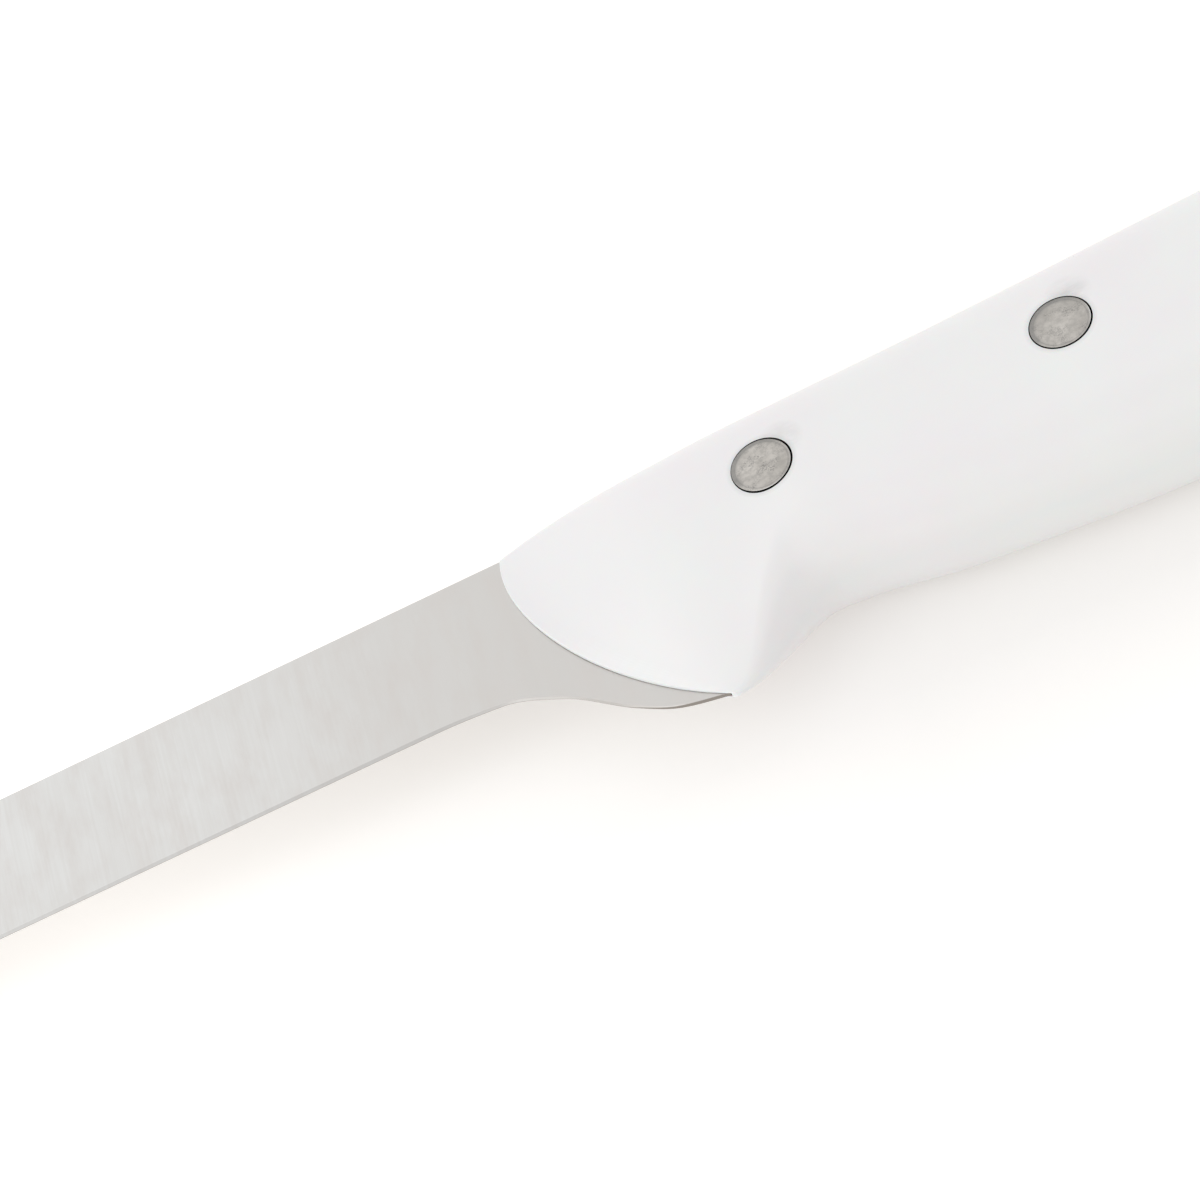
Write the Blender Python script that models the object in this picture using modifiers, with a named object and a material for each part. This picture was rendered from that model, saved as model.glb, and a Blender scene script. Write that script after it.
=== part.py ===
"""Ham knife: a long, narrow slicing blade whose hidden tang is riveted between two moulded scales.

Frame: metres, +Z up. The knife lies on its side, with the blade's tip towards -X, the back of the blade
towards +Y and the lower scale's flat side on Z = 0. The origin is on that flat side, in the row of rivets,
midway between the front two. The sizes below are measured from the point where the blade's back enters the
handle, and an empty carries the whole knife from there to the origin.
"""

import bpy
import bmesh
import math
from mathutils import Vector

MM = 0.001

# Blade
BLADE_LENGTH = 275.0 * MM
BLADE_WIDTH = 17.95 * MM
STEEL_THICKNESS = 1.3 * MM
TIP_THICKNESS = 0.8 * MM
GROUND_THICKNESS = 0.36 * MM
EDGE_THICKNESS = 0.04 * MM
BEVEL_WIDTH = 0.8 * MM
BACK_CHAMFER = 0.15 * MM
TIP_CURVE_LENGTH = 52.0 * MM
TIP_DROP = 3.2 * MM
TIP_BLUNTNESS = 0.4 * MM
FULL_GRIND_WIDTH = 4.0 * MM

# Heel: the steel flares down in an S-curve to a tail under the finger guard
FLARE_START = 12.0 * MM
HEEL_GRIND_RUN = 16.0 * MM
TAIL_THICKNESS = 0.5 * MM
TAIL_SHORTFALL = 0.6 * MM
TAIL_DEPTH = 30.2 * MM
TAIL_CUT = 1.1 * MM
HEEL_BEVEL = 0.3 * MM
TAIL_BEVEL = 0.05 * MM
SHARP_TO = 6.0 * MM
BLUNT_FROM = 16.0 * MM
GRIND_MARGIN = 0.4 * MM

# Tang, measured from the row of rivets
TANG_ABOVE_RIVETS = 6.6 * MM
TANG_BELOW_RIVETS = 8.4 * MM
TANG_BEHIND_RIVETS = 11.0 * MM
TANG_SHOULDER = 5.0 * MM
TANG_END_FLAT = 0.015 * MM

# Handle, side to side
HANDLE_THICKNESS = 16.0 * MM
FRONT_LIP = 0.25 * MM
GUARD_LIP = 0.2 * MM
NOSE_LENGTH = 42.0 * MM
GUARD_SWELL = 15.5 * MM
BACK_RADIUS = 6.3 * MM
BELLY_RADIUS = 5.8 * MM
BUTT_EDGE_RADIUS = 4.5 * MM

# Handle seen flat, the front: the guard's point and how far the front edge bows out before its chord
GUARD_REACH = 19.1 * MM
GUARD_DEPTH = 30.55 * MM
FRONT_BOW = 6.6 * MM

# Handle seen flat, the belly: each dip or swell is placed from the one before it
NOTCH_FROM_GUARD = 14.2 * MM
NOTCH_DEPTH = 22.55 * MM
SWELL_FROM_NOTCH = 13.6 * MM
SWELL_DEPTH = 24.85 * MM
PALM_FROM_NOTCH = 42.7 * MM
PALM_DEPTH = 27.05 * MM
WAIST_FROM_PALM = 27.0 * MM
WAIST_DEPTH = 25.3 * MM
HOOK_FROM_WAIST = 17.0 * MM
HOOK_DEPTH = 29.0 * MM
BUTT_FROM_HOOK = 10.5 * MM
HOOK_ROUNDING = 7.0 * MM

# Handle seen flat, the back
BACK_STEP = 0.15 * MM
NOSE_RISE = 0.3 * MM
BACK_RISE = 1.9 * MM
BUTT_BACK_RUN = 18.0 * MM
BUTT_BACK_DROP = 8.0 * MM

# Rivets, each a tube half and a pin half with flat heads
RIVET_COUNT = 3
RIVET_HEAD_DIAMETER = 7.0 * MM
RIVET_HEAD_HEIGHT = 2.0 * MM
RIVET_TUBE_DIAMETER = 4.8 * MM
RIVET_PIN_DIAMETER = 2.6 * MM
FIRST_RIVET_X = 30.7 * MM
RIVET_PITCH = 33.9 * MM
RIVET_DROP = 10.45 * MM

# The gap between pieces that fit together
CLEARANCE = 0.3 * MM

# Points closer than this are one point
WELD = 0.00001 * MM

# Fineness of the meshes
CORNER_STEPS = 6
FACE_STEPS = 10
RIVET_SEGMENTS = 40

# Where things lie
HALF_HANDLE = HANDLE_THICKNESS / 2
NOTCH_X = GUARD_REACH + NOTCH_FROM_GUARD
PALM_X = NOTCH_X + PALM_FROM_NOTCH
WAIST_X = PALM_X + WAIST_FROM_PALM
HOOK_X = WAIST_X + HOOK_FROM_WAIST
BUTT_X = HOOK_X + BUTT_FROM_HOOK
TIP_X = -BLADE_LENGTH
TANG_TOP = -RIVET_DROP + TANG_ABOVE_RIVETS
TANG_BOTTOM = -RIVET_DROP - TANG_BELOW_RIVETS
TANG_END_X = FIRST_RIVET_X + (RIVET_COUNT - 1) * RIVET_PITCH + TANG_BEHIND_RIVETS
TAIL_X = GUARD_REACH - TAIL_SHORTFALL
TANG_END_RADIUS = (TANG_TOP - TANG_BOTTOM) / 2
ORIGIN = (FIRST_RIVET_X + RIVET_PITCH / 2, -RIVET_DROP)
RIVET_NAMES = ("front", "middle", "rear")

# The flare's S-curve as shares of its run along X and of its depth
FLARE_SHAPE = ((0.0, 0.0), (0.24, 0.04), (0.45, 0.26), (0.67, 0.69), (0.81, 0.885), (1.0, 1.0))

# Where a Bezier line's two handles stand along its chord, on the bowed front edge and on a straight line
FRONT_HANDLES = (0.16, 0.68)
STRAIGHT_HANDLES = (1 / 3, 2 / 3)

# The share of the handle's width, from its back, that keeps its full height over the nose
LEVEL_SHARE = 0.2

# How much of the handle's half height its edges round off where it is thin
EDGE_ROUNDNESS = 0.88

# Powers: a higher one makes a fuller nose, or a curve that bends later and faster
NOSE_FULLNESS = 3.2
LEAN_FADE = 1.6
BOW_FADE = 1.5
TIP_BACK_SWEEP = 2.0
TIP_EDGE_SWEEP = 2.2
TAIL_SWEEP = 2.6


def mix(a, b, t):
    return a + (b - a) * t


def share(start, end, x):
    """How far x is from start to end, kept between 0 and 1."""
    return min(max((x - start) / (end - start), 0.0), 1.0)


def ramp(start, end, x):
    """A smooth climb from 0 at start to 1 at end."""
    t = share(start, end, x)
    return t * t * (3 - 2 * t)


def rounding(start, end, x):
    """How far a quarter circle has dropped, as a share: 0 up to start and 1 at end."""
    return 1 - math.sqrt(1 - share(start, end, x) ** 2)


def flow(points, x):
    """The height at x of a smooth curve through the points, level at each of its dips and swells."""
    spans = [b[0] - a[0] for a, b in zip(points, points[1:])]
    rises = [(b[1] - a[1]) / span for a, b, span in zip(points, points[1:], spans)]
    slopes = [0.0]
    for i in range(1, len(points) - 1):
        r0, r1 = rises[i - 1], rises[i]
        w0, w1 = 2 * spans[i] + spans[i - 1], spans[i] + 2 * spans[i - 1]
        slopes.append((w0 + w1) / (w0 / r0 + w1 / r1) if r0 * r1 > 0 else 0.0)
    slopes.append(rises[-1])
    i = 0
    while i < len(spans) - 1 and x > points[i + 1][0]:
        i += 1
    t = share(points[i][0], points[i + 1][0], x)
    t2, t3 = t * t, t * t * t
    return (points[i][1] * (2 * t3 - 3 * t2 + 1) + points[i + 1][1] * (3 * t2 - 2 * t3)
            + spans[i] * (slopes[i] * (t3 - 2 * t2 + t) + slopes[i + 1] * (t3 - t2)))


def spread(start, end, steps):
    """Evenly spaced values from start up to but not including end."""
    return [mix(start, end, i / steps) for i in range(steps)]


def towards_end(start, end, steps):
    """Values from start to end that crowd together at the end, for a rounded end."""
    return [mix(start, end, math.sin(math.pi / 2 * i / steps)) for i in range(steps + 1)]


def handle_back(x):
    """The back of the handle, seen flat."""
    line = ((0.0, BACK_STEP), (NOSE_LENGTH, NOSE_RISE), (WAIST_X, BACK_RISE), (BUTT_X, BACK_RISE))
    return flow(line, x) - BUTT_BACK_DROP * rounding(BUTT_X - BUTT_BACK_RUN, BUTT_X, x)


def handle_belly(x):
    """The belly of the handle, seen flat, from the guard's point to the butt."""
    line = ((GUARD_REACH, -GUARD_DEPTH), (NOTCH_X, -NOTCH_DEPTH), (NOTCH_X + SWELL_FROM_NOTCH, -SWELL_DEPTH),
            (PALM_X, -PALM_DEPTH), (WAIST_X, -WAIST_DEPTH), (HOOK_X, -HOOK_DEPTH), (BUTT_X, -HOOK_DEPTH))
    return flow(line, x) + HOOK_ROUNDING * rounding(HOOK_X, BUTT_X, x)


def crossing(x_back):
    """The line across the handle, seen flat, that starts at x_back on its back.

    The first one is the bowed front edge. They straighten out along the nose, and run square across the
    grip from there on.
    """
    straight = share(0.0, NOTCH_X, x_back)
    x_belly = x_back + GUARD_REACH * (1 - straight) ** LEAN_FADE
    back = Vector((x_back, handle_back(x_back)))
    belly = Vector((x_belly, handle_belly(x_belly)))
    chord = belly - back
    out = Vector((chord.y, -chord.x)).normalized()
    bow = out * FRONT_BOW * (1 - straight) ** BOW_FADE
    first, second = [back + chord * mix(bowed, level, straight) + bow
                     for bowed, level in zip(FRONT_HANDLES, STRAIGHT_HANDLES)]
    return back, first, second, belly


def along(line, t):
    """A point on a Bezier line given by its two ends and two handles."""
    a, b, c, d = line
    s = 1 - t
    return a * s ** 3 + b * 3 * s * s * t + c * 3 * s * t * t + d * t ** 3


def half_thickness(y):
    """Half the steel's thickness in its heel and tang, which taper evenly from its back to the tail."""
    return mix(STEEL_THICKNESS, TAIL_THICKNESS, -y / TAIL_DEPTH) / 2


def scale_section(x_back):
    """One cross-section of a scale above the mid-plane, from its back to its belly, as (x, y, height)."""
    line = crossing(x_back)
    length = (line[3] - line[0]).length
    nose = 1 - (1 - share(0.0, NOSE_LENGTH, x_back)) ** NOSE_FULLNESS
    guard = ramp(GUARD_REACH, GUARD_REACH + GUARD_SWELL, line[3].x)
    butt = BUTT_EDGE_RADIUS * rounding(BUTT_X - BUTT_EDGE_RADIUS, BUTT_X, x_back)
    high = mix(half_thickness(0.0) + FRONT_LIP, HALF_HANDLE, nose) - butt
    low = mix(half_thickness(-TAIL_DEPTH) + GUARD_LIP, HALF_HANDLE, guard) - butt
    back_radius = min(EDGE_ROUNDNESS * high, BACK_RADIUS)
    belly_radius = min(EDGE_ROUNDNESS * low, BELLY_RADIUS)

    def face_height(t):
        return mix(high, low, share(LEVEL_SHARE, 1.0, t) ** 2)

    turns = [math.pi / 2 * k / CORNER_STEPS for k in range(CORNER_STEPS + 1)]
    points = [(0.0, 0.0)]
    for turn in turns:
        t = back_radius * (1 - math.cos(turn)) / length
        points.append((t, face_height(t) - back_radius * (1 - math.sin(turn))))
    start, end = back_radius / length, 1 - belly_radius / length
    for k in range(1, FACE_STEPS):
        t = mix(start, end, k / FACE_STEPS)
        points.append((t, face_height(t)))
    for turn in reversed(turns):
        t = 1 - belly_radius * (1 - math.cos(turn)) / length
        points.append((t, face_height(t) - belly_radius * (1 - math.sin(turn))))
    points.append((1.0, 0.0))
    return [(along(line, t).x, along(line, t).y, height) for t, height in points]


def scale_stations():
    """Where the handle's cross-sections start on its back, closer together at its nose and its butt."""
    nose = [NOTCH_X * (k / 18) ** 1.3 for k in range(18)]
    notch = spread(NOTCH_X, NOTCH_X + GUARD_SWELL, 4)
    grip = spread(NOTCH_X + GUARD_SWELL, HOOK_X, 18)
    butt = towards_end(HOOK_X, BUTT_X, 9)
    return nose + notch + grip + butt


def tang_rounding(x):
    """How far the tang's round end draws its two edges in."""
    return TANG_END_RADIUS * rounding(TANG_END_X - TANG_END_RADIUS, TANG_END_X, x)


def steel_back(x):
    """The upper outline of blade and tang."""
    tip = TIP_DROP * share(TIP_X + TIP_CURVE_LENGTH, TIP_X, x) ** TIP_BACK_SWEEP
    return mix(0.0, TANG_TOP, ramp(0.0, TANG_SHOULDER, x)) - tip - tang_rounding(x)


def steel_belly(x):
    """The lower outline of the steel: cutting edge, flare, tail and the tang's underside."""
    if x <= TAIL_X:
        flare = flow(FLARE_SHAPE, share(-FLARE_START, GUARD_REACH, x))
        tip = share(TIP_X + TIP_CURVE_LENGTH, TIP_X, x) ** TIP_EDGE_SWEEP
        return -mix(mix(BLADE_WIDTH, TAIL_DEPTH, flare), TIP_DROP + TIP_BLUNTNESS, tip)
    tail = -TAIL_DEPTH + TAIL_CUT * share(TAIL_X, TAIL_X + CLEARANCE, x)
    inside = share(TAIL_X, NOTCH_X, x)
    return mix(TANG_BOTTOM, tail, (1 - inside) ** TAIL_SWEEP) + tang_rounding(x)


def grind_limit(x):
    """The line, hidden just under the handle's front edge, that the heel is ground up to."""
    return -TAIL_DEPTH * math.sqrt(share(0.0, GUARD_REACH, x))


def steel_section(x):
    """A closed cross-section of the steel at x: chamfered back, ground flank, bevel and edge."""
    back, belly = steel_back(x), steel_belly(x)
    size = share(0.0, FULL_GRIND_WIDTH, back - belly)
    heel = ramp(-HEEL_GRIND_RUN, 0.0, x)
    blunt = ramp(SHARP_TO, BLUNT_FROM, x)
    inside = share(TAIL_X - CLEARANCE, TAIL_X, x)
    chamfer = BACK_CHAMFER * size
    bevel = mix(mix(BEVEL_WIDTH, HEEL_BEVEL, heel) * size, TAIL_BEVEL, blunt)
    slimmer = mix(0.0, STEEL_THICKNESS - TIP_THICKNESS, share(0.0, TIP_X, x))
    thick = half_thickness(back - chamfer) - slimmer / 2
    limit = max(min(grind_limit(x), back - chamfer), belly + bevel + GRIND_MARGIN * size)
    from_limit = mix(thick, half_thickness(limit), share(0.0, GRIND_MARGIN, x))
    thin = mix(GROUND_THICKNESS / 2, half_thickness(belly + bevel), max(blunt, inside))
    edge = mix(mix(EDGE_THICKNESS, TAIL_THICKNESS, blunt) / 2, half_thickness(belly), inside)
    side = [(back, thick - chamfer), (back - chamfer, thick), (limit, from_limit), (belly + bevel, thin),
            (belly, edge)]
    upper = [(x, y, HALF_HANDLE + z) for y, z in side]
    lower = [(x, y, HALF_HANDLE - z) for y, z in reversed(side)]
    return upper + lower


def steel_stations():
    """Where the steel's cross-sections stand, closer together where its outline bends."""
    tip = [TIP_X + TIP_CURVE_LENGTH * (k / 14) ** 1.3 for k in range(14)]
    blade = spread(TIP_X + TIP_CURVE_LENGTH, -HEEL_GRIND_RUN, 6)
    heel = spread(-HEEL_GRIND_RUN, 0.0, 10)
    flare = [0.0, GRIND_MARGIN] + spread(GRIND_MARGIN, TAIL_X - CLEARANCE, 20)[1:]
    tail = spread(TAIL_X - CLEARANCE, TAIL_X + CLEARANCE, 4)
    inside = [mix(TAIL_X + CLEARANCE, NOTCH_X, (k / 8) ** 1.4) for k in range(8)]
    tang = spread(NOTCH_X, TANG_END_X - TANG_END_RADIUS, 3)
    end = towards_end(TANG_END_X - TANG_END_RADIUS, TANG_END_X - TANG_END_FLAT, 8)
    return tip + blade + heel + flare + tail + inside + tang + end


def make_collection(name, hidden=False):
    collection = bpy.data.collections.new(name)
    bpy.context.scene.collection.children.link(collection)
    collection.hide_render = hidden
    return collection


def material(name, colour, roughness, metallic):
    made = bpy.data.materials.new(name)
    made.use_nodes = True
    shader = made.node_tree.nodes["Principled BSDF"]
    shader.inputs["Base Color"].default_value = (*colour, 1.0)
    shader.inputs["Roughness"].default_value = roughness
    shader.inputs["Metallic"].default_value = metallic
    return made


def add_carrier(collection):
    """An empty that carries the whole knife, so that the origin lies where the frame says."""
    carrier = bpy.data.objects.new("knife", None)
    carrier.location = (-ORIGIN[0], -ORIGIN[1], 0.0)
    collection.objects.link(carrier)


def add_object(name, data, collection, look=None):
    """An object under the knife's empty."""
    made = bpy.data.objects.new(name, data)
    made.parent = bpy.data.objects["knife"]
    collection.objects.link(made)
    if look:
        data.materials.append(look)
    return made


def shade_round(mesh):
    """Shade a mesh smooth between its sharp edges."""
    mesh.shade_smooth()
    mesh.set_sharp_from_angle(angle=math.radians(30))
    return mesh


def loft(sections, name):
    """Skin closed sections that all have the same number of points, and cap both ends."""
    shape = bmesh.new()
    rings = [[shape.verts.new(point) for point in section] for section in sections]
    for near, far in zip(rings, rings[1:]):
        for i in range(len(near)):
            j = (i + 1) % len(near)
            shape.faces.new((near[i], near[j], far[j], far[i]))
    shape.faces.new(rings[0])
    shape.faces.new(rings[-1])
    bmesh.ops.remove_doubles(shape, verts=shape.verts, dist=WELD)
    bmesh.ops.recalc_face_normals(shape, faces=shape.faces)
    mesh = bpy.data.meshes.new(name)
    shape.to_mesh(mesh)
    shape.free()
    return shade_round(mesh)


def baked(guide, name):
    """The mesh that a modified object makes, in the knife's own space, in place of the object."""
    bpy.context.view_layer.update()
    graph = bpy.context.evaluated_depsgraph_get()
    mesh = bpy.data.meshes.new_from_object(guide.evaluated_get(graph))
    mesh.name = name
    mesh.transform(guide.matrix_local)
    bpy.data.objects.remove(guide)
    shape = bmesh.new()
    shape.from_mesh(mesh)
    bmesh.ops.remove_doubles(shape, verts=shape.verts, dist=WELD)
    bmesh.ops.recalc_face_normals(shape, faces=shape.faces)
    shape.to_mesh(mesh)
    shape.free()
    return mesh


def turned(name, profile, collection):
    """A mesh turned about the vertical axis, from a profile of (radius, height) points."""
    mesh = bpy.data.meshes.new(name)
    edges = [(i, i + 1) for i in range(len(profile) - 1)]
    mesh.from_pydata([(radius, 0.0, height) for radius, height in profile], edges, [])
    guide = add_object(name, mesh, collection)
    screw = guide.modifiers.new("turn", "SCREW")
    screw.steps = RIVET_SEGMENTS
    screw.render_steps = RIVET_SEGMENTS
    screw.use_merge_vertices = True
    screw.merge_threshold = WELD
    screw.use_smooth_shade = False
    return baked(guide, name)


def cut(target, cutter):
    """Take the cutter's shape out of the target, and leave the cutter as a wire guide."""
    modifier = target.modifiers.new(cutter.name, "BOOLEAN")
    modifier.operation = "DIFFERENCE"
    modifier.solver = "EXACT"
    modifier.object = cutter
    cutter.hide_render = True
    cutter.display_type = "WIRE"


def rivet_places():
    return [Vector((FIRST_RIVET_X + i * RIVET_PITCH, -RIVET_DROP, 0.0)) for i in range(RIVET_COUNT)]


def tang_pocket(collection):
    """The space for the steel in the handle: as thick as the steel, and a clearance wider all round."""
    xs = [x for x in steel_stations() if x >= -HEEL_GRIND_RUN / 2]
    outline = [Vector((x, steel_back(x))) for x in xs]
    outline += [Vector((x, steel_belly(x))) for x in reversed(xs)]
    grown = []
    for i, point in enumerate(outline):
        before, after = outline[i - 1], outline[(i + 1) % len(outline)]
        direction = (after - before).normalized()
        grown.append(point + Vector((-direction.y, direction.x)) * CLEARANCE)
    floors = [[(x, y, HALF_HANDLE + side * half_thickness(y)) for x, y in grown] for side in (-1, 1)]
    return add_object("tang_pocket", loft(floors, "tang_pocket"), collection)


def rivet_space(name, place, collection):
    """The stepped hole that one rivet fills, with its clearance, as a cutter for all that it passes."""
    head = RIVET_HEAD_DIAMETER / 2 + CLEARANCE
    tube = RIVET_TUBE_DIAMETER / 2 + CLEARANCE
    top_seat = HANDLE_THICKNESS - RIVET_HEAD_HEIGHT
    above = HANDLE_THICKNESS + RIVET_HEAD_HEIGHT
    name = f"{name}_rivet_space"
    space = turned(name, (
        (0.0, above), (head, above), (head, top_seat), (tube, top_seat), (tube, RIVET_HEAD_HEIGHT),
        (head, RIVET_HEAD_HEIGHT), (head, -RIVET_HEAD_HEIGHT), (0.0, -RIVET_HEAD_HEIGHT)), collection)
    made = add_object(name, space, collection)
    made.location = place
    return made


def make_blade(rivet_spaces, collection):
    steel = material("satin_steel", (0.60, 0.59, 0.57), 0.33, 1.0)
    sections = [steel_section(x) for x in steel_stations()]
    blade = add_object("blade", loft(sections, "blade"), collection, steel)
    for space in rivet_spaces:
        cut(blade, space)
    return blade


def make_scale(name, side, pocket, rivet_spaces, collection):
    """One handle scale: side is 1 for the upper one and -1 for the lower one."""
    white = material(f"{name}_white", (0.86, 0.85, 0.86), 0.32, 0.0)
    sections = [scale_section(x) for x in scale_stations()]
    foot = [(x, y, 0.0) for x, y, _ in sections[0]]
    placed = [[(x, y, HALF_HANDLE + side * z) for x, y, z in section] for section in [foot] + sections]
    scale = add_object(name, loft(placed, name), collection, white)
    for cutter in [pocket] + rivet_spaces:
        cut(scale, cutter)
    return scale


def make_rivet(name, place, collection):
    """A compression rivet: the tube half comes from above and the pin half from below."""
    grey = material(f"{name}_rivet_metal", (0.42, 0.42, 0.42), 0.45, 1.0)
    head = RIVET_HEAD_DIAMETER / 2
    tube = RIVET_TUBE_DIAMETER / 2
    pin = RIVET_PIN_DIAMETER / 2
    bore = pin + CLEARANCE
    top_seat = HANDLE_THICKNESS - RIVET_HEAD_HEIGHT
    profiles = {
        f"{name}_rivet_tube": (
            (0.0, HANDLE_THICKNESS), (head, HANDLE_THICKNESS), (head, top_seat), (tube, top_seat),
            (tube, RIVET_HEAD_HEIGHT + CLEARANCE), (bore, RIVET_HEAD_HEIGHT + CLEARANCE), (bore, top_seat),
            (0.0, top_seat)),
        f"{name}_rivet_pin": (
            (0.0, top_seat - CLEARANCE), (pin, top_seat - CLEARANCE), (pin, RIVET_HEAD_HEIGHT),
            (head, RIVET_HEAD_HEIGHT), (head, 0.0), (0.0, 0.0)),
    }
    for half, profile in profiles.items():
        made = add_object(half, shade_round(turned(half, profile, collection)), collection, grey)
        made.location = place


def build():
    for item in list(bpy.data.objects):
        bpy.data.objects.remove(item)
    knife = make_collection("ham_knife")
    cutters = make_collection("cutters", hidden=True)
    add_carrier(knife)
    places = dict(zip(RIVET_NAMES, rivet_places()))
    rivet_spaces = [rivet_space(name, place, cutters) for name, place in places.items()]
    make_blade(rivet_spaces, knife)
    pocket = tang_pocket(cutters)
    make_scale("upper_handle_scale", 1, pocket, rivet_spaces, knife)
    make_scale("lower_handle_scale", -1, pocket, rivet_spaces, knife)
    for name, place in places.items():
        make_rivet(name, place, knife)


build()
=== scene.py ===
"""Ham knife on a white table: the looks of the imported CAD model, at the photograph's viewing angle.

Everything is in metres in the CAD model's frame. The knife's own space, in which the outlines below are
written, has its origin where the blade's back enters the handle, with the tip towards -X.
"""

import bmesh
import bpy
import math
from mathutils import Matrix, Vector
from mathutils.bvhtree import BVHTree
from mathutils.interpolate import poly_3d_calc


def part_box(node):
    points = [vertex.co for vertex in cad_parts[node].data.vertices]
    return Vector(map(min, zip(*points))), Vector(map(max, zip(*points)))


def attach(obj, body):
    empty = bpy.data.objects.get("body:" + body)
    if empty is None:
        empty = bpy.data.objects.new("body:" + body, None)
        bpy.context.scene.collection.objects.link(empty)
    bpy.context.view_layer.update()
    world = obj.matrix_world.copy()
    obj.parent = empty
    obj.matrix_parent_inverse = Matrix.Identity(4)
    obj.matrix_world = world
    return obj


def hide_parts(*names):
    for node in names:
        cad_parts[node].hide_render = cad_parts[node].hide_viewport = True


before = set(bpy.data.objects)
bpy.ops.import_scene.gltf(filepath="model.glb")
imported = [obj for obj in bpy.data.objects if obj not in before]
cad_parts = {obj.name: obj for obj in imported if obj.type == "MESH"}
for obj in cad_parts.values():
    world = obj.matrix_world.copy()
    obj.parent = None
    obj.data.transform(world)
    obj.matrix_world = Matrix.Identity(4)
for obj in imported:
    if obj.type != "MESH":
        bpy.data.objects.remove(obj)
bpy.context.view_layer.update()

MM = 0.001

# Blade
STEEL_THICKNESS = 1.3 * MM
TIP_THICKNESS = 0.8 * MM
GROUND_THICKNESS = 0.36 * MM
EDGE_THICKNESS = 0.04 * MM
BEVEL_WIDTH = 0.38 * MM
BACK_CHAMFER = 0.15 * MM
BLADE_WIDTH = 17.95 * MM
TIP_CURVE_LENGTH = 52.0 * MM
TIP_DROP = 3.2 * MM
TIP_BLUNTNESS = 0.4 * MM
FULL_GRIND_WIDTH = 4.0 * MM

# Heel: the steel flares down in an S-curve to a tail under the finger guard
FLARE_START = 12.0 * MM
HEEL_GRIND_RUN = 16.0 * MM
TAIL_THICKNESS = 0.5 * MM
TAIL_SHORTFALL = 0.6 * MM
TAIL_DEPTH = 30.2 * MM
TAIL_CUT = 1.1 * MM
HEEL_BEVEL = 0.22 * MM
TAIL_BEVEL = 0.05 * MM
TAIL_GAP = 0.3 * MM
SHARP_TO = 6.0 * MM
BLUNT_FROM = 16.0 * MM
GRIND_MARGIN = 0.4 * MM
FLANK_SETTLES = 12.0 * MM

# Tang, measured from the row of rivets
TANG_ABOVE_RIVETS = 6.6 * MM
TANG_BELOW_RIVETS = 8.4 * MM
TANG_SHOULDER = 5.0 * MM
TANG_END_FLAT = 0.015 * MM

# Handle
FRONT_LIP = 0.25 * MM
FRONT_EDGE_ROUNDING = 0.2 * MM
GUARD_LIP = 0.2 * MM
NOSE_LENGTH = 42.0 * MM
FACE_NOSE_LENGTH = 36.0 * MM
GUARD_SWELL = 15.5 * MM
BACK_RADIUS = 6.3 * MM
BELLY_RADIUS = 5.8 * MM
BUTT_EDGE_RADIUS = 4.5 * MM
GUARD_REACH = 19.1 * MM
GUARD_DEPTH = 30.55 * MM
FRONT_BOW = 6.6 * MM
NOTCH_FROM_GUARD = 14.2 * MM
NOTCH_DEPTH = 22.55 * MM
SWELL_FROM_NOTCH = 13.6 * MM
SWELL_DEPTH = 24.85 * MM
PALM_FROM_NOTCH = 42.7 * MM
PALM_DEPTH = 27.05 * MM
WAIST_FROM_PALM = 27.0 * MM
WAIST_DEPTH = 25.3 * MM
HOOK_FROM_WAIST = 17.0 * MM
HOOK_DEPTH = 29.0 * MM
BUTT_FROM_HOOK = 10.5 * MM
HOOK_ROUNDING = 7.0 * MM
BACK_STEP = 0.15 * MM
NOSE_RISE = 0.3 * MM
BACK_RISE = 1.9 * MM
BUTT_BACK_RUN = 18.0 * MM
BUTT_BACK_DROP = 8.0 * MM

# Rivets, which the frame places
FIRST_RIVET_X = 30.7 * MM
RIVET_DROP = 10.45 * MM
RIVET_HEAD_HEIGHT = 2.0 * MM
RIVET_TUBE_DIAMETER = 4.8 * MM
RIVET_PIN_DIAMETER = 2.6 * MM
RIVET_INNER_GAP = 0.3 * MM
RIVET_DOME = 0.02 * MM
RIVET_SHOULDER = 0.32 * MM
RIVET_SHOULDER_DROP = 0.04 * MM
RIVET_LEAN = 0.5

# How far each rivet's head sits off the middle of its hole
RIVET_SET_OFFS = {
    "front": Vector((-0.085, 0.07, 0.0)) * MM,
    "middle": Vector((-0.04, 0.125, 0.0)) * MM,
    "rear": Vector((-0.05, 0.1, 0.0)) * MM,
}

# The gaps that show: round a rivet's head, and between the scales and the steel
HEAD_GAP = 0.15 * MM
HOLE_TIGHTNESS = 0.07 * MM
STEEL_GAP = 0.05 * MM

# How near two points of a mesh lie when they become one
WELD = 0.00001 * MM

# How far towards a face's middle a corner is looked up on the uncut mesh
CORNER_INSET = 0.001

# The flare's S-curve as shares of its run along X and of its depth
FLARE_SHAPE = ((0.0, 0.0), (0.24, 0.04), (0.45, 0.26), (0.67, 0.69), (0.81, 0.885), (1.0, 1.0))

# Where a Bezier line's two handles stand along its chord, on the bowed front edge and on a straight line
FRONT_HANDLES = (0.16, 0.68)
STRAIGHT_HANDLES = (1 / 3, 2 / 3)

# The share of the handle's width, from its back, that keeps its full height over the nose
LEVEL_SHARE = 0.3

# How much of the handle's half height its edges round off where it is thin
EDGE_ROUNDNESS = 0.88

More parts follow.
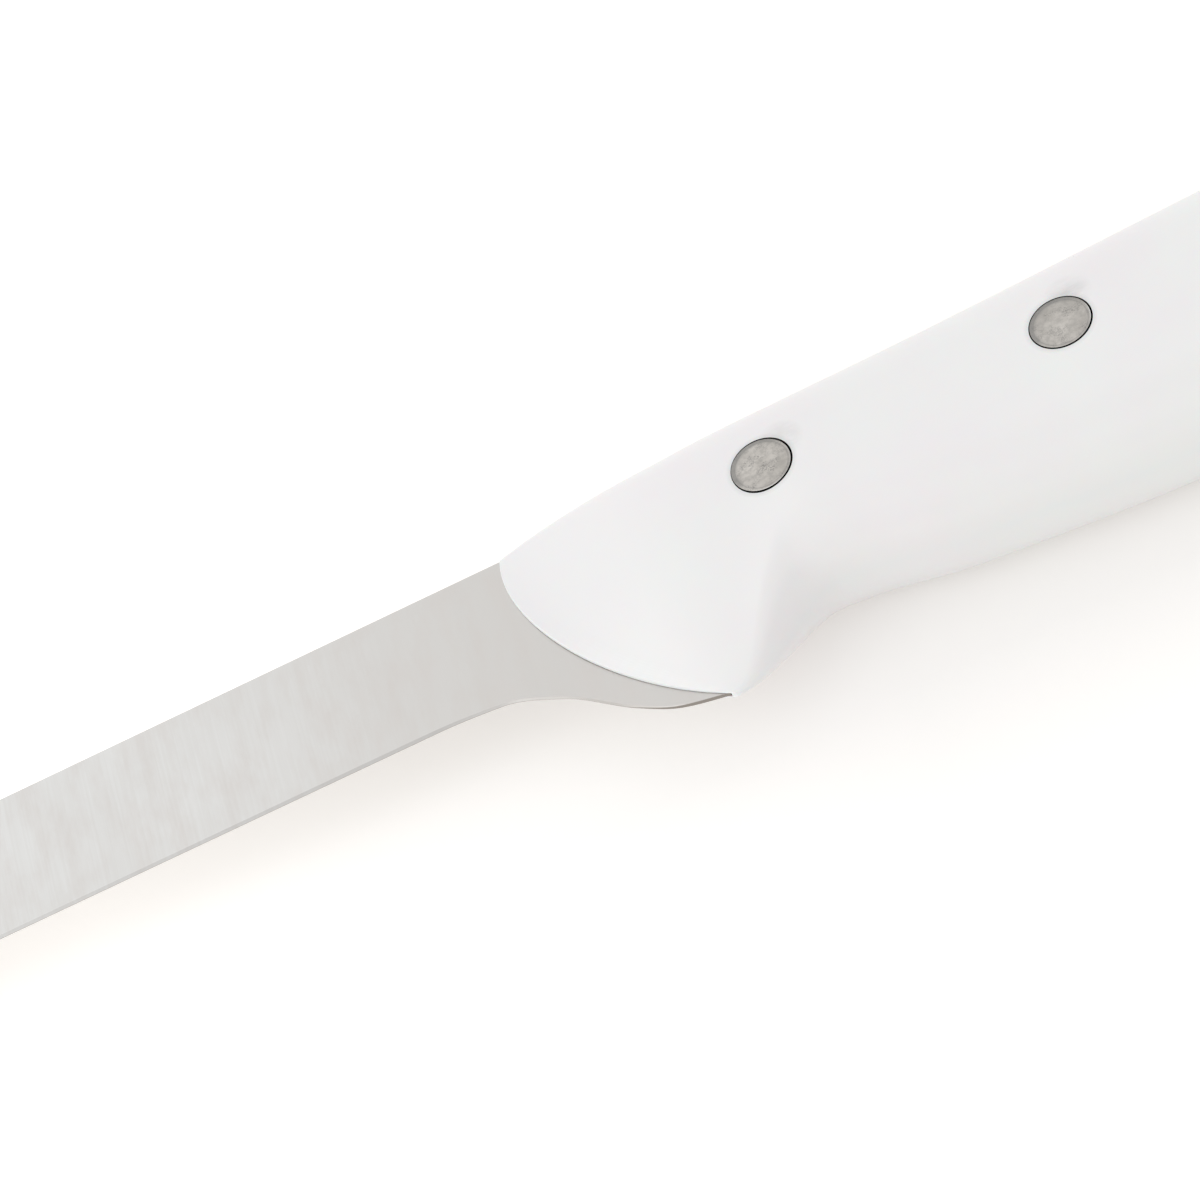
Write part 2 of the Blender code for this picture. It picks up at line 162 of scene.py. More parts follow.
# Powers: a higher one makes a fuller nose, or a curve that bends later and faster
NOSE_FULLNESS = 3.2
FACE_SWEEP = 2
LEAN_FADE = 1.6
BOW_FADE = 1.5
TIP_BACK_SWEEP = 2.0
TIP_EDGE_SWEEP = 2.2
TAIL_SWEEP = 2.6
SHOULDER_SWEEP = 1.6

# Fineness of the handle's meshes
CORNER_STEPS = 12
FACE_STEPS = 26
LIP_STEPS = 5
NOSE_STEPS = 44
NOSE_CROWDING = 1.2
NOTCH_STEPS = 10
GRIP_STEPS = 40
BUTT_STEPS = 22

# Fineness of the steel's mesh
TIP_STEPS = 60
TIP_CROWDING = 1.3
BLADE_STEPS = 12
HEEL_STEPS = 40
FLARE_STEPS = 90
TAIL_STEPS = 8
HIDDEN_TAIL_STEPS = 16
HIDDEN_TAIL_CROWDING = 1.4
TANG_STEPS = 4
TANG_END_STEPS = 16

# Fineness of the rivets' meshes
RIVET_SEGMENTS = 96
HEAD_STEPS = 8

# The angle from which two faces meet in a crease
CREASE = math.radians(30)
RIVET_CREASE = math.radians(28)

# Where things lie
RIVET_NAMES = ("front", "middle", "rear")
BLADE_LOW, BLADE_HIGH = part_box("blade")
HEAD_LOW, HEAD_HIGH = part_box("front_rivet_tube")
HEAD_RADIUS = (HEAD_HIGH.x - HEAD_LOW.x) / 2
HOLE_RADIUS = HEAD_RADIUS - HOLE_TIGHTNESS
HANDLE_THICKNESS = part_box("upper_handle_scale")[1].z
HALF_HANDLE = HANDLE_THICKNESS / 2
KNIFE_ORIGIN = Vector(((HEAD_LOW.x + HEAD_HIGH.x) / 2 - FIRST_RIVET_X, RIVET_DROP, 0.0))
TIP_X = BLADE_LOW.x - KNIFE_ORIGIN.x
TANG_END_X = BLADE_HIGH.x - KNIFE_ORIGIN.x
TANG_TOP = -RIVET_DROP + TANG_ABOVE_RIVETS
TANG_BOTTOM = -RIVET_DROP - TANG_BELOW_RIVETS
TANG_END_RADIUS = (TANG_TOP - TANG_BOTTOM) / 2
NOTCH_X = GUARD_REACH + NOTCH_FROM_GUARD
PALM_X = NOTCH_X + PALM_FROM_NOTCH
WAIST_X = PALM_X + WAIST_FROM_PALM
HOOK_X = WAIST_X + HOOK_FROM_WAIST
BUTT_X = HOOK_X + BUTT_FROM_HOOK
TAIL_X = GUARD_REACH - TAIL_SHORTFALL

# The photograph's view, in the knife's own space
FIELD_OF_VIEW = math.radians(15.0)
VIEW_TILT = math.radians(42.34)
VIEW_SWING = math.radians(7.37)
VIEW_ROLL = math.radians(18.61)
VIEW_DISTANCE = 486.3 * MM
VIEW_TARGET = Vector((7.74, -5.28, 2.07)) * MM

# The stretch that leaves height out of a distance
LEVEL = (1, 1, 0)

# Where nearly all values of a noise lie
NOISE_RANGE = (0.3, 0.7)

# The steel's colours
STEEL_DARK = (0.67, 0.665, 0.65, 1)
STEEL_LIGHT = (0.71, 0.71, 0.70, 1)
CLOUD_TONE = (0.56, 0.54, 0.52, 1)
HEEL_TONE = (0.60, 0.585, 0.565, 1)
BLOTCH_TONE = (0.60, 0.565, 0.54, 1)
BEVEL_TONE = (0.38, 0.37, 0.36, 1)
EDGE_TONE = (0.30, 0.275, 0.25, 1)

# The steel's noises: their grains a metre, detail and roughness
LINE_GRAIN = ((3800.0, 45.0, 45.0), 5.0, 0.6)
BROAD_GRAIN = ((420.0, 30.0, 30.0), 3.0)
CLOUD_GRAIN = (60.0, 3.0)
BLOTCH_GRAIN = ((500.0, 160.0, 160.0), 4.0, 0.6)

# Which values of the steel's noises show
LINE_RANGE = (0.25, 0.75)
CLOUD_RANGE = (0.35, 0.7)
BLOTCH_RANGE = (0.42, 0.68)

# The depth and strength of the grind lines, and the roughness that two of the noises give and add
LINE_RELIEF = (0.0016 * MM, 0.2)
LINE_ROUGHNESS = (0.31, 0.37)
BROAD_ROUGHNESS = (-0.03, 0.04)

# How far each tone of the steel covers the ones below it
CLOUD_COVER = 0.3
BLOTCH_COVER = 0.42
BEVEL_COVER = 0.35

# Where the steel's tones begin and end: along the frame's X, and by how level a face is
HEEL_DULLING = (-88.0 * MM, -48.0 * MM)
BEVEL_FACING = (0.9985, 0.995)
EDGE_FACING = (0.85, 0.5)

# The plastic's colours, gloss, and how light scatters inside it
PLASTIC_WARM = (0.80, 0.78, 0.79, 1)
PLASTIC_COOL = (0.80, 0.81, 0.80, 1)
PLASTIC_IOR = 1.48
PLASTIC_SCATTER = 0.12
PLASTIC_SCATTER_DEPTH = 1.2 * MM

# The plastic's noises: their grains a metre, detail and roughness
SWIRL_GRAIN = (55.0, 3.0)
PORE_GRAIN = (2600.0, 3.0, 0.6)
WAVE_GRAIN = (150.0, 2.0)
SCUFF_GRAIN = (900.0, 4.0, 0.65)
SMEAR_GRAIN = ((350.0, 900.0, 350.0), 4.0, 0.6)

# Which values of the swirl and of the smears' noise show, and the least that a smear's streaks cover
SWIRL_RANGE = (0.35, 0.65)
STREAK_RANGE = (0.35, 0.65)
STREAK_COVER = 0.25

# The depth and strength of pores and waves, and the roughness that two of the noises give and add
PORE_RELIEF = (0.004 * MM, 0.5)
WAVE_RELIEF = (0.03 * MM, 0.4)
SCUFF_ROUGHNESS = (0.29, 0.34)
SWIRL_ROUGHNESS = (-0.02, 0.04)

# Grey smears on the plastic: where they lie from each rivet's foot, and how far they and the dull rims reach
SMEAR_TONE = (0.5, 0.5, 0.49, 1)
SMEARS = {
    "front": Vector((2.7, 2.0, 16.0)) * MM,
    "middle": Vector((1.9, 3.2, 16.0)) * MM,
    "rear": Vector((2.2, 2.6, 16.0)) * MM,
}
SMEAR_RUN = (0.4 * MM, 2.7 * MM)
SMEAR_COVER = 0.6
DULL_RIM = 0.5 * MM
DULL_RIM_COVER = 0.3

# Painted shade in the gap round a rivet's head, near black on the hole's wall and on the head's steep side:
# how far it runs out on the plastic, and how steep the metal is there
CREVICE_PAINTED_SHADE = (0.04, 0.04, 0.04, 1)
CREVICE_SHADE_FADE = 0.02 * MM
CREVICE_SHADE_FACING = (0.3, 0.5)

# Painted shade that makes the nose's front slightly darker, ending at a place along the frame's X
NOSE_PAINTED_SHADE = (0.765, 0.755, 0.765, 1)
NOSE_SHADE_RUN = (-46.0 * MM, -34.0 * MM)

# A painted highlight on the handle's front rim, where its narrow rounding catches the light: where its
# surface is steep, up to a place along the frame's X
RIM_PAINTED_HIGHLIGHT = (0.9, 0.9, 0.9, 1)
RIM_HIGHLIGHT_FACING = (0.6, 0.82)
RIM_HIGHLIGHT_END = (-31.0 * MM, -28.0 * MM)

# The rivets' colours, and how bright each one is
RIVET_DARK = (0.49, 0.465, 0.43)
RIVET_LIGHT = (0.68, 0.65, 0.61)
RIVET_BRIGHTNESS = {"front": 0.92, "middle": 0.86, "rear": 0.82}
MOTTLE_TONE = (0.36, 0.345, 0.325, 1)
PIT_TONE = (0.14, 0.14, 0.14, 1)
# Painted shade for the rivets' back rims, and the colour of their turned line
SHADE_AND_LINE_TONE = (0.2, 0.2, 0.195, 1)
# A painted highlight for the rivets' front rims
RIVET_PAINTED_HIGHLIGHT = (0.86, 0.86, 0.85, 1)

# The rivets' noises: their grains a metre, detail and roughness
RIVET_CLOUD_GRAIN = (330.0, 4.0, 0.6)
MOTTLE_GRAIN = (1500.0, 3.0, 0.6)
CLUSTER_GRAIN = (700.0, 2.0, 0.5)
FINE_GRAIN = (5200.0, 3.0, 0.7)
PIT_GRAIN = (6500.0, 2.0, 0.6)

# The depth and strength of the rivets' fine grain, and the roughness that it gives
FINE_RELIEF = (0.006 * MM, 0.7)
FINE_ROUGHNESS = (0.38, 0.55)

# Which values of the rivets' noises show as mottling, as pits and as clusters of pits
MOTTLE_RANGE = (0.42, 0.66)
PIT_RANGE = (0.5, 0.6)
CLUSTER_RANGE = (0.45, 0.6)

# How far each tone of the rivets covers the ones below it
MOTTLE_COVER = 0.6
CLUSTER_COVER = 0.55
OUTER_COVER = 0.3
SHADE_BAND_COVER = 0.6
LINE_COVER = 0.35

# Bands on a rivet's head: where they lie on its radius, and where the middle of the painted shade on its
# back rim is from the head's
OUTER_BAND = (0.3 * HEAD_RADIUS, HEAD_RADIUS)
SHADE_BAND = (HEAD_RADIUS - 0.9 * MM, HEAD_RADIUS - 0.4 * MM)
SHADED_SIDE_FROM_MIDDLE = Vector((-2.2, 2.7, 0.0)) * MM
SHADE_RUN = (HEAD_RADIUS, 1.45 * HEAD_RADIUS)
TURNED_LINE = HEAD_RADIUS - 0.55 * MM
TURNED_LINE_RUN = (0.02 * MM, 0.1 * MM)
HIGHLIGHT_BAND = (HEAD_RADIUS - 0.38 * MM, HEAD_RADIUS - 0.3 * MM)
HIGHLIGHT_RUN = (0.6 * HEAD_RADIUS, 1.2 * HEAD_RADIUS)

# The sky's strength, and how it grows along each axis
SKY_LEVEL = 0.79
SKY_LEAN = (-0.2, 0.25, 0.16)

# The softboxes: the direction they shine from, distance, size, power and colour
KEY_SOFTBOX = ((-0.9, -0.25, 0.9), 1.2, 0.9, 2.0, (1.0, 0.995, 0.985))
FRONT_FILL = ((0.25, -1.0, 0.7), 1.4, 1.2, 2.9, (1.0, 0.98, 0.975))

# The table, and its glow, which falls along the frame's X and grows away from the handle
TABLE_REACH = 4.0
TABLE_DARK = (0.575, 0.575, 0.575, 1)
TABLE_LIGHT = (0.585, 0.585, 0.585, 1)
TABLE_GRAIN = 3.0
TABLE_ROUGHNESS = 0.7
GLOW_COLOUR = (1.0, 0.955, 0.905, 1)
TABLE_GLOW = (0.58, 0.345)
TABLE_GLOW_RUN = (-104.0 * MM, -12.0 * MM)
OPEN_TABLE_GLOW = 0.12
OPEN_TABLE_MIDDLE = -9.0 * MM
OPEN_TABLE_RUN = (13.0 * MM, 36.0 * MM)
PAST_BUTT_RUN = (85.0 * MM, 120.0 * MM)


def mix(a, b, t):
    return a + (b - a) * t


def share(start, end, x):
    """How far x is from start to end, kept between 0 and 1."""
    return min(max((x - start) / (end - start), 0.0), 1.0)


def ramp(start, end, x):
    """A smooth climb from 0 at start to 1 at end."""
    t = share(start, end, x)
    return t * t * (3 - 2 * t)


def rounding(start, end, x):
    """How far a quarter circle has dropped, as a share: 0 up to start and 1 at end."""
    return 1 - math.sqrt(1 - share(start, end, x) ** 2)


def flow(points, x):
    """The height at x of a smooth curve through the points, level at each of its dips and swells."""
    spans = [b[0] - a[0] for a, b in zip(points, points[1:])]
    rises = [(b[1] - a[1]) / span for a, b, span in zip(points, points[1:], spans)]
    slopes = [0.0]
    for i in range(1, len(points) - 1):
        r0, r1 = rises[i - 1], rises[i]
        w0, w1 = 2 * spans[i] + spans[i - 1], spans[i] + 2 * spans[i - 1]
        slopes.append((w0 + w1) / (w0 / r0 + w1 / r1) if r0 * r1 > 0 else 0.0)
    slopes.append(rises[-1])
    i = 0
    while i < len(spans) - 1 and x > points[i + 1][0]:
        i += 1
    t = share(points[i][0], points[i + 1][0], x)
    t2, t3 = t * t, t * t * t
    return (points[i][1] * (2 * t3 - 3 * t2 + 1) + points[i + 1][1] * (3 * t2 - 2 * t3)
            + spans[i] * (slopes[i] * (t3 - 2 * t2 + t) + slopes[i + 1] * (t3 - t2)))


def spread(start, end, steps):
    """Evenly spaced values from start up to but not including end."""
    return [mix(start, end, i / steps) for i in range(steps)]


def crowded(start, end, steps, power):
    """Values from start up to but not including end that crowd together at the start."""
    return [mix(start, end, (i / steps) ** power) for i in range(steps)]


def towards_end(start, end, steps):
    """Values from start to end that crowd together at the end, for a rounded end."""
    return [mix(start, end, math.sin(math.pi / 2 * i / steps)) for i in range(steps + 1)]


def handle_back(x):
    """The back of the handle, seen flat."""
    line = ((0.0, BACK_STEP), (NOSE_LENGTH, NOSE_RISE), (WAIST_X, BACK_RISE), (BUTT_X, BACK_RISE))
    return flow(line, x) - BUTT_BACK_DROP * rounding(BUTT_X - BUTT_BACK_RUN, BUTT_X, x)


def handle_belly(x):
    """The belly of the handle, seen flat, from the guard's point to the butt."""
    line = ((GUARD_REACH, -GUARD_DEPTH), (NOTCH_X, -NOTCH_DEPTH), (NOTCH_X + SWELL_FROM_NOTCH, -SWELL_DEPTH),
            (PALM_X, -PALM_DEPTH), (WAIST_X, -WAIST_DEPTH), (HOOK_X, -HOOK_DEPTH), (BUTT_X, -HOOK_DEPTH))
    return flow(line, x) + HOOK_ROUNDING * rounding(HOOK_X, BUTT_X, x)


def crossing(x_back):
    """The line across the handle, seen flat, that starts at x_back on its back.

    The first one is the bowed front edge. They straighten out along the nose, and run square across the
    grip from there on.
    """
    straight = share(0.0, NOTCH_X, x_back)
    x_belly = x_back + GUARD_REACH * (1 - straight) ** LEAN_FADE
    back = Vector((x_back, handle_back(x_back)))
    belly = Vector((x_belly, handle_belly(x_belly)))
    chord = belly - back
    out = Vector((chord.y, -chord.x)).normalized()
    bow = out * FRONT_BOW * (1 - straight) ** BOW_FADE
    first, second = [back + chord * mix(bowed, level, straight) + bow
                     for bowed, level in zip(FRONT_HANDLES, STRAIGHT_HANDLES)]
    return back, first, second, belly


def along(line, t):
    """A point on a Bezier line given by its two ends and two handles."""
    a, b, c, d = line
    s = 1 - t
    return a * s ** 3 + b * 3 * s * s * t + c * 3 * s * t * t + d * t ** 3


def half_thickness(y):
    """Half the steel's thickness in its heel and tang, which taper evenly from its back to the tail."""
    return mix(STEEL_THICKNESS, TAIL_THICKNESS, -y / TAIL_DEPTH) / 2


def scale_section(x_back):
    """One cross-section of a scale above the mid-plane, from its back to its belly, as (x, y, height)."""
    line = crossing(x_back)
    length = (line[3] - line[0]).length
    nose = 1 - (1 - share(0.0, NOSE_LENGTH, x_back)) ** NOSE_FULLNESS
    face_nose = 1 - (1 - share(0.0, FACE_NOSE_LENGTH, x_back)) ** NOSE_FULLNESS
    guard = ramp(GUARD_REACH, GUARD_REACH + GUARD_SWELL, line[3].x)
    butt = BUTT_EDGE_RADIUS * rounding(BUTT_X - BUTT_EDGE_RADIUS, BUTT_X, x_back)
    edge = 1 - rounding(0.0, FRONT_EDGE_ROUNDING, FRONT_EDGE_ROUNDING - x_back)
    lip = half_thickness(0.0) + FRONT_LIP * edge
    high = mix(lip, HALF_HANDLE, nose) - butt
    face = mix(lip, HALF_HANDLE, face_nose) - butt
    low = mix(half_thickness(-TAIL_DEPTH) + GUARD_LIP * edge, HALF_HANDLE, guard) - butt
    back_radius = min(EDGE_ROUNDNESS * high, BACK_RADIUS)
    belly_radius = min(EDGE_ROUNDNESS * low, BELLY_RADIUS)

    def face_height(t):
        """The skin's height at t, the share of the way from the back to the belly."""
        level = mix(high, face, ramp(0.0, LEVEL_SHARE, t))
        return mix(level, low, share(LEVEL_SHARE, 1.0, t) ** FACE_SWEEP)

    turns = [math.pi / 2 * k / CORNER_STEPS for k in range(CORNER_STEPS + 1)]
    points = [(0.0, 0.0)]
    for turn in turns:
        t = back_radius * (1 - math.cos(turn)) / length
        points.append((t, face_height(t) - back_radius * (1 - math.sin(turn))))
    start, end = back_radius / length, 1 - belly_radius / length
    for k in range(1, FACE_STEPS):
        t = mix(start, end, k / FACE_STEPS)
        points.append((t, face_height(t)))
    for turn in reversed(turns):
        t = 1 - belly_radius * (1 - math.cos(turn)) / length
        points.append((t, face_height(t) - belly_radius * (1 - math.sin(turn))))
    points.append((1.0, 0.0))
    return [(along(line, t).x, along(line, t).y, height) for t, height in points]


def scale_stations():
    """Where the handle's cross-sections start on its back, closer together at its nose and its butt."""
    lip = spread(0.0, FRONT_EDGE_ROUNDING, LIP_STEPS)
    nose = crowded(FRONT_EDGE_ROUNDING, NOTCH_X, NOSE_STEPS, NOSE_CROWDING)
    notch = spread(NOTCH_X, NOTCH_X + GUARD_SWELL, NOTCH_STEPS)
    grip = spread(NOTCH_X + GUARD_SWELL, HOOK_X, GRIP_STEPS)
    butt = towards_end(HOOK_X, BUTT_X, BUTT_STEPS)
    return lip + nose + notch + grip + butt


def tang_rounding(x):
    """How far the tang's round end draws its two edges in."""
    return TANG_END_RADIUS * rounding(TANG_END_X - TANG_END_RADIUS, TANG_END_X, x)


def steel_back(x):
    """The upper outline of blade and tang."""
    tip = TIP_DROP * share(TIP_X + TIP_CURVE_LENGTH, TIP_X, x) ** TIP_BACK_SWEEP
    return mix(0.0, TANG_TOP, ramp(0.0, TANG_SHOULDER, x)) - tip - tang_rounding(x)


def steel_belly(x):
    """The lower outline of the steel: cutting edge, flare, tail and the tang's underside."""
    if x <= TAIL_X:
        flare = flow(FLARE_SHAPE, share(-FLARE_START, GUARD_REACH, x))
        tip = share(TIP_X + TIP_CURVE_LENGTH, TIP_X, x) ** TIP_EDGE_SWEEP
        return -mix(mix(BLADE_WIDTH, TAIL_DEPTH, flare), TIP_DROP + TIP_BLUNTNESS, tip)
    tail = -TAIL_DEPTH + TAIL_CUT * share(TAIL_X, TAIL_X + TAIL_GAP, x)
    inside = share(TAIL_X, NOTCH_X, x)
    return mix(TANG_BOTTOM, tail, (1 - inside) ** TAIL_SWEEP) + tang_rounding(x)


def grind_limit(x):
    """The line, hidden just under the handle's front edge, that the heel is ground up to."""
    return -TAIL_DEPTH * math.sqrt(share(0.0, GUARD_REACH, x))


def steel_section(x):
    """A closed cross-section of the steel at x: chamfered back, ground flank, bevel and edge."""
    back, belly = steel_back(x), steel_belly(x)
    size = share(0.0, FULL_GRIND_WIDTH, back - belly)
    heel = ramp(-HEEL_GRIND_RUN, 0.0, x)
    blunt = ramp(SHARP_TO, BLUNT_FROM, x)
    inside = share(TAIL_X - TAIL_GAP, TAIL_X, x)
    chamfer = BACK_CHAMFER * size
    bevel = mix(mix(BEVEL_WIDTH, HEEL_BEVEL, heel) * size, TAIL_BEVEL, blunt)
    slimmer = mix(0.0, STEEL_THICKNESS - TIP_THICKNESS, share(0.0, TIP_X, x))
    thick = half_thickness(back - chamfer) - slimmer / 2
    limit = max(min(grind_limit(x), back - chamfer), belly + bevel + GRIND_MARGIN * size)
    thin = mix(GROUND_THICKNESS / 2, half_thickness(belly + bevel), max(blunt, inside))
    flank = mix(thick, thin, share(back - chamfer, belly + bevel, limit))
    from_limit = mix(flank, half_thickness(limit), ramp(0.0, FLANK_SETTLES, x))
    edge = mix(mix(EDGE_THICKNESS, TAIL_THICKNESS, blunt) / 2, half_thickness(belly), inside)
    side = [(back, thick - chamfer), (back - chamfer, thick), (limit, from_limit), (belly + bevel, thin),
            (belly, edge)]
    upper = [(x, y, HALF_HANDLE + z) for y, z in side]
    lower = [(x, y, HALF_HANDLE - z) for y, z in reversed(side)]
    return upper + lower


def steel_stations():
    """Where the steel's cross-sections stand, closer together where its outline bends."""
    tip = crowded(TIP_X, TIP_X + TIP_CURVE_LENGTH, TIP_STEPS, TIP_CROWDING)
    blade = spread(TIP_X + TIP_CURVE_LENGTH, -HEEL_GRIND_RUN, BLADE_STEPS)
    heel = spread(-HEEL_GRIND_RUN, 0.0, HEEL_STEPS)
    flare = spread(0.0, TAIL_X - TAIL_GAP, FLARE_STEPS)
    tail = spread(TAIL_X - TAIL_GAP, TAIL_X + TAIL_GAP, TAIL_STEPS)
    inside = crowded(TAIL_X + TAIL_GAP, NOTCH_X, HIDDEN_TAIL_STEPS, HIDDEN_TAIL_CROWDING)
    tang = spread(NOTCH_X, TANG_END_X - TANG_END_RADIUS, TANG_STEPS)
    end = towards_end(TANG_END_X - TANG_END_RADIUS, TANG_END_X - TANG_END_FLAT, TANG_END_STEPS)
    return tip + blade + heel + flare + tail + inside + tang + end


def mesh_of(shape, name):
    """Close a bmesh off as a mesh of its own, shifted from the knife's space to the frame's."""
    bmesh.ops.remove_doubles(shape, verts=shape.verts, dist=WELD)
    bmesh.ops.recalc_face_normals(shape, faces=shape.faces)
    bmesh.ops.translate(shape, verts=shape.verts, vec=KNIFE_ORIGIN)
    mesh = bpy.data.meshes.new(name)
    shape.to_mesh(mesh)
    shape.free()
    return mesh


def loft(sections, name, sharp_lines=()):
    """Skin closed sections that all have the same number of points, and cap both ends.

    sharp_lines are the points of a section whose line along the loft is a crease.
    """
    shape = bmesh.new()
    rings = [[shape.verts.new(point) for point in section] for section in sections]
    for near, far in zip(rings, rings[1:]):
        for i in range(len(near)):
            j = (i + 1) % len(near)
            shape.faces.new((near[i], near[j], far[j], far[i])).smooth = True
    caps = [shape.faces.new(rings[0]), shape.faces.new(rings[-1])]
    for cap in caps:
        for edge in cap.edges:
            edge.smooth = False
    for near, far in zip(rings, rings[1:]):
        for i in sharp_lines:
            shape.edges.get((near[i], far[i])).smooth = False
    return mesh_of(shape, name)


def add_piece(name, mesh, look, node):
    """A piece of the visual model that stands for a CAD node and rides where it does."""
    made = bpy.data.objects.new(name, mesh)
    bpy.context.scene.collection.objects.link(made)
    mesh.materials.clear()
    mesh.materials.append(look)
    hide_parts(node)
    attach(made, "root")
    return made


def turned(profile, name, place):
    """A closed mesh turned about the vertical axis at place, from a profile of (radius, height) points."""
    shape = bmesh.new()
    points = [shape.verts.new((radius, 0.0, height)) for radius, height in profile]
    edges = [shape.edges.new(pair) for pair in zip(points, points[1:])]
    bmesh.ops.spin(shape, geom=points + edges, cent=(0, 0, 0), axis=(0, 0, 1), angle=math.tau,
                   steps=RIVET_SEGMENTS, use_merge=True)
    bmesh.ops.translate(shape, verts=shape.verts, vec=place)
    return mesh_of(shape, name)


def cut(mesh, cutters):
    """The mesh with the cutters' shapes taken out of it."""
    scene = bpy.context.scene
    target = bpy.data.objects.new("cut_target", mesh)
    guides = [bpy.data.objects.new("cutter", cutter) for cutter in cutters]
    for item in [target] + guides:
        scene.collection.objects.link(item)
    for guide in guides:
        modifier = target.modifiers.new("cut", "BOOLEAN")
        modifier.operation = "DIFFERENCE"
        modifier.object = guide
    graph = bpy.context.evaluated_depsgraph_get()
    made = bpy.data.meshes.new_from_object(target.evaluated_get(graph))
    made.name = mesh.name
    for item in [target] + guides:
        bpy.data.objects.remove(item)
    return made


def shade(mesh, whole=None, crease=CREASE):
    """Shade smooth between sharp edges, and take the uncut mesh's normals where the two lie together."""
    mesh.polygons.foreach_set("use_smooth", [True] * len(mesh.polygons))
    shape = bmesh.new()
    shape.from_mesh(mesh)
    for edge in shape.edges:
        if edge.is_manifold and edge.calc_face_angle() > crease:
            edge.smooth = False
    shape.to_mesh(mesh)
    shape.free()
    if not whole:
        return mesh
    whole.calc_loop_triangles()
    triangles = [tuple(t.vertices) for t in whole.loop_triangles]
    tree = BVHTree.FromPolygons([v.co for v in whole.vertices], triangles)
    whole_normals = [n.vector.copy() for n in whole.corner_normals]
    normals = [n.vector.copy() for n in mesh.corner_normals]
    for polygon in mesh.polygons:
        for index in polygon.loop_indices:
            point = mesh.vertices[mesh.loops[index].vertex_index].co.lerp(polygon.center, CORNER_INSET)
            place, normal, found, _ = tree.find_nearest(point)
            if polygon.normal.dot(normal) < math.cos(crease):
                continue
            triangle = whole.loop_triangles[found]
            weights = poly_3d_calc([whole.vertices[v].co for v in triangle.vertices], place)
            blend = Vector()
            for loop, weight in zip(triangle.loops, weights):
                blend += whole_normals[loop] * weight
            normals[index] = blend.normalized()
    mesh.normals_split_custom_set(normals)
    return mesh


def rivet_place(name):
    """The middle of a rivet, in the knife's own space, as the frame has it."""
    low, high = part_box(f"{name}_rivet_tube")
    return Vector(((low.x + high.x) / 2, (low.y + high.y) / 2, 0.0)) - KNIFE_ORIGIN


def rivet_space(place):
    """The stepped hole that one rivet fills."""
    tube = RIVET_TUBE_DIAMETER / 2 + RIVET_INNER_GAP
    seat, top_seat = RIVET_HEAD_HEIGHT, HANDLE_THICKNESS - RIVET_HEAD_HEIGHT
    below, above = -RIVET_HEAD_HEIGHT, HANDLE_THICKNESS + RIVET_HEAD_HEIGHT
    profile = ((0.0, above), (HOLE_RADIUS, above), (HOLE_RADIUS, top_seat), (tube, top_seat),
               (tube, seat), (HOLE_RADIUS, seat), (HOLE_RADIUS, below), (0.0, below))
    return turned(profile, "space", place)


def tang_pocket():
    """The space for the steel inside the scales, as one block."""
    xs = [x for x in steel_stations() if x >= -HEEL_GRIND_RUN / 2]
    outline = [Vector((x, steel_back(x))) for x in xs] + [Vector((x, steel_belly(x))) for x in reversed(xs)]
    grown = []
    for i, point in enumerate(outline):
        before, after = outline[i - 1], outline[(i + 1) % len(outline)]
        direction = (after - before).normalized()
        grown.append(point + Vector((-direction.y, direction.x)) * TAIL_GAP)
    lower = [(p.x, p.y, HALF_HANDLE - half_thickness(p.y) - STEEL_GAP) for p in grown]
    upper = [(p.x, p.y, HALF_HANDLE + half_thickness(p.y) + STEEL_GAP) for p in grown]
    return loft([lower, upper], "pocket")


